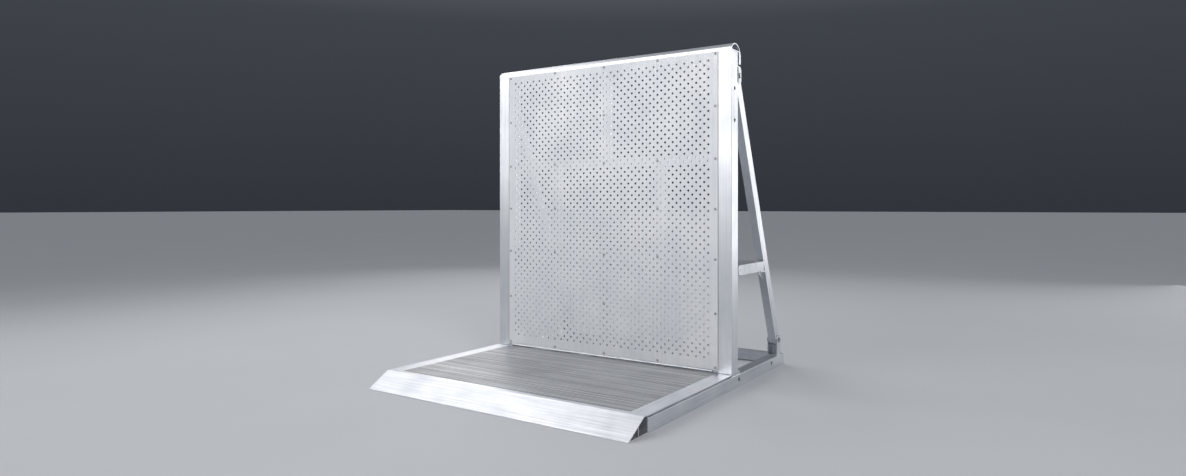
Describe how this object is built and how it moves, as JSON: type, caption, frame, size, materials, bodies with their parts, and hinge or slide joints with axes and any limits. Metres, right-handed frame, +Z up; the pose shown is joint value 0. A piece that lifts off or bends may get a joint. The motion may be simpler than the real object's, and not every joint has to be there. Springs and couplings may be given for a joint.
{
  "type": "folding aluminium crowd barrier",
  "caption": "Free-standing A-frame barrier: perforated wall on a ribbed deck with a ramp, raking rear struts, a foot board and a rounded hand rail.",
  "frame": {"origin": "centre of the base's outline, on the floor", "axes": "+X to the right seen from the crowd side, +Y from the ramp towards the struts, +Z up"},
  "size_m": [1.048, 1.206, 1.1999],
  "materials": {
    "extrusion": "mill-finish extruded aluminium with fine drawn lines",
    "sheet": "satin perforated aluminium sheet",
    "brushed": "brushed aluminium ramp and trim",
    "deck": "ribbed aluminium planks, darker from wear",
    "fastener": "zinc-plated steel"
  },
  "bodies": {
    "base": {"clevis_bolts": "fastener", "clevis_left": "extrusion", "clevis_right": "extrusion", "deck_bearers": "extrusion", "deck_ledges": "extrusion", "deck_plank_1": "deck", "deck_plank_2": "deck", "deck_plank_3": "deck", "deck_plank_4": "deck", "deck_plank_5": "deck", "deck_plank_6": "deck", "edge_trim_left": "brushed", "edge_trim_right": "brushed", "front_cross_rail": "extrusion", "hinge_base_leaf": "extrusion", "hinge_cross_rail": "extrusion", "hinge_pin": "fastener", "post_pads": "extrusion", "rail_caps": "extrusion", "ramp": "brushed", "rear_cross_rail": "extrusion", "side_rail_left": "extrusion", "side_rail_right": "extrusion"},
    "wall": {"post_left": "extrusion", "post_right": "extrusion", "stile_left": "extrusion", "stile_right": "extrusion", "top_bar": "extrusion", "upper_band_bar": "extrusion", "lower_band_bar": "extrusion", "bottom_bar": "extrusion", "centre_mullions": "extrusion", "side_mullions": "extrusion", "perforated_sheet": "sheet", "hand_rail": "extrusion", "hinge_wall_leaf": "extrusion", "heel_brackets": "extrusion", "strut_lugs": "extrusion", "step_lugs": "extrusion"},
    "struts": {"strut_left": "extrusion", "strut_right": "extrusion", "step_ledges": "extrusion"},
    "step": {"step_board": "deck", "step_ends": "extrusion", "step_pins": "fastener"}
  },
  "joints": [
    {"name": "wall_fold", "type": "hinge", "parent": "base", "child": "wall", "pos_m": [0, 0.083, 0.0575], "axis": [1, 0, 0], "range_deg": [0, 90]},
    {"name": "strut_fold", "type": "hinge", "parent": "base", "child": "struts", "pos_m": [0, 0.549, 0.104], "axis": [1, 0, 0], "range_deg": [0, 58.5]},
    {"name": "step_fold", "type": "hinge", "parent": "wall", "child": "step", "pos_m": [0, 0.16, 0.407], "axis": [1, 0, 0], "range_deg": [-90, 0]}
  ],
  "couplings": [
    {"joint": "strut_fold", "follows": "wall_fold", "ratio": 0.65},
    {"joint": "step_fold", "follows": "wall_fold", "ratio": -1}
  ]
}
